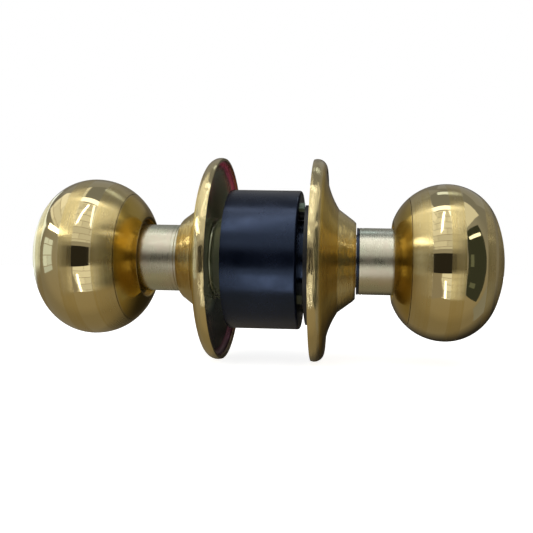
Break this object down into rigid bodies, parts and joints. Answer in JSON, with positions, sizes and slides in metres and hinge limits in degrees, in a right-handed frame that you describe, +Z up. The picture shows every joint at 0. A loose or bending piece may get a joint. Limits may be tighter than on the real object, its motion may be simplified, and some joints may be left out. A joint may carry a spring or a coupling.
{
  "type": "door knob",
  "caption": "Cylindrical passage lockset: rounded brass knobs with satin and mirror bands, plated necks, dished roses and a black chassis drum with a sprung retractor.",
  "frame": {"origin": "on the lock's axis, midway between the two roses' rims, which is the middle of the door's thickness and of its cross bore", "axes": "+X along the lock's axis towards the inside knob, +Y towards the latch, +Z up"},
  "size_m": [0.1536, 0.067, 0.067],
  "materials": {
    "knob_brass": "lacquered brass plate in turned bands, satin and mirror by turns",
    "rose_brass": "lacquered brass plate with a turned satin face and a bright rim",
    "neck_plate": "bright nickel-plated steel, slightly tarnished",
    "black_plastic": "moulded, low sheen",
    "zinc_steel": "bright zinc-plated sheet steel",
    "zinc_chromate": "yellow zinc chromate with green and pink iridescence",
    "black_steel": "black-coated sheet steel",
    "spring_steel": "bright spring wire"
  },
  "bodies": {
    "chassis": {"housing_cover": "black_plastic", "chassis_case": "zinc_chromate", "outside_end_plate": "zinc_steel", "inside_end_plate": "zinc_steel", "outside_hub": "zinc_chromate", "inside_hub": "zinc_steel", "retractor_guides": "zinc_steel", "spring_seats": "zinc_steel", "retractor_springs": "spring_steel", "inside_mounting_plate": "black_steel", "mounting_screws": "black_steel", "inside_rose": "rose_brass", "rose_clips": "spring_steel"},
    "outside_rose": {"outside_rose": "rose_brass", "rose_liner": "zinc_chromate"},
    "retractor": {"retractor": "zinc_steel"},
    "outside_knob": {"outside_spindle": "zinc_steel", "outside_snap_ring": "spring_steel", "outside_neck_ring": "neck_plate", "outside_neck_sleeve": "neck_plate", "outside_knob_core": "zinc_steel", "outside_knob_back": "knob_brass", "outside_knob_shell": "knob_brass", "outside_catch_spring": "spring_steel"},
    "outside_catch": {"outside_knob_catch": "zinc_steel"},
    "inside_knob": {"inside_spindle": "zinc_steel", "inside_snap_ring": "spring_steel", "inside_neck_ring": "black_plastic", "inside_neck_sleeve": "neck_plate", "inside_knob_core": "zinc_steel", "inside_knob_back": "knob_brass", "inside_knob_shell": "knob_brass", "inside_catch_spring": "spring_steel"},
    "inside_catch": {"inside_knob_catch": "zinc_steel"}
  },
  "joints": [
    {"name": "outside_knob_turn", "type": "hinge", "parent": "chassis", "child": "outside_knob", "pos_m": [-0.04, 0, 0], "axis": [1, 0, 0], "range_deg": [0, 60]},
    {"name": "inside_knob_turn", "type": "hinge", "parent": "chassis", "child": "inside_knob", "pos_m": [0.04, 0, 0], "axis": [1, 0, 0], "range_deg": [0, 60]},
    {"name": "retractor_slide", "type": "slide", "parent": "chassis", "child": "retractor", "axis": [0, -1, 0], "range_m": [0, 0.012], "stiffness_N_per_m": 40, "springref_m": -0.004, "deforming": ["retractor_springs"]},
    {"name": "outside_rose_adjust", "type": "slide", "parent": "chassis", "child": "outside_rose", "axis": [-1, 0, 0], "range_m": [0, 0.0075]},
    {"name": "outside_catch_press", "type": "slide", "parent": "outside_knob", "child": "outside_catch", "axis": [0, -1, 0], "range_m": [0, 0.0022], "stiffness_N_per_m": 600, "springref_m": -0.001, "deforming": ["outside_catch_spring"]},
    {"name": "inside_catch_press", "type": "slide", "parent": "inside_knob", "child": "inside_catch", "axis": [0, -1, 0], "range_m": [0, 0.0022], "stiffness_N_per_m": 600, "springref_m": -0.001, "deforming": ["inside_catch_spring"]}
  ],
  "couplings": [
    {"joint": "inside_knob_turn", "follows": "outside_knob_turn", "ratio": 1},
    {"joint": "retractor_slide", "follows": "outside_knob_turn", "m_per_rad": 0.011459}
  ]
}
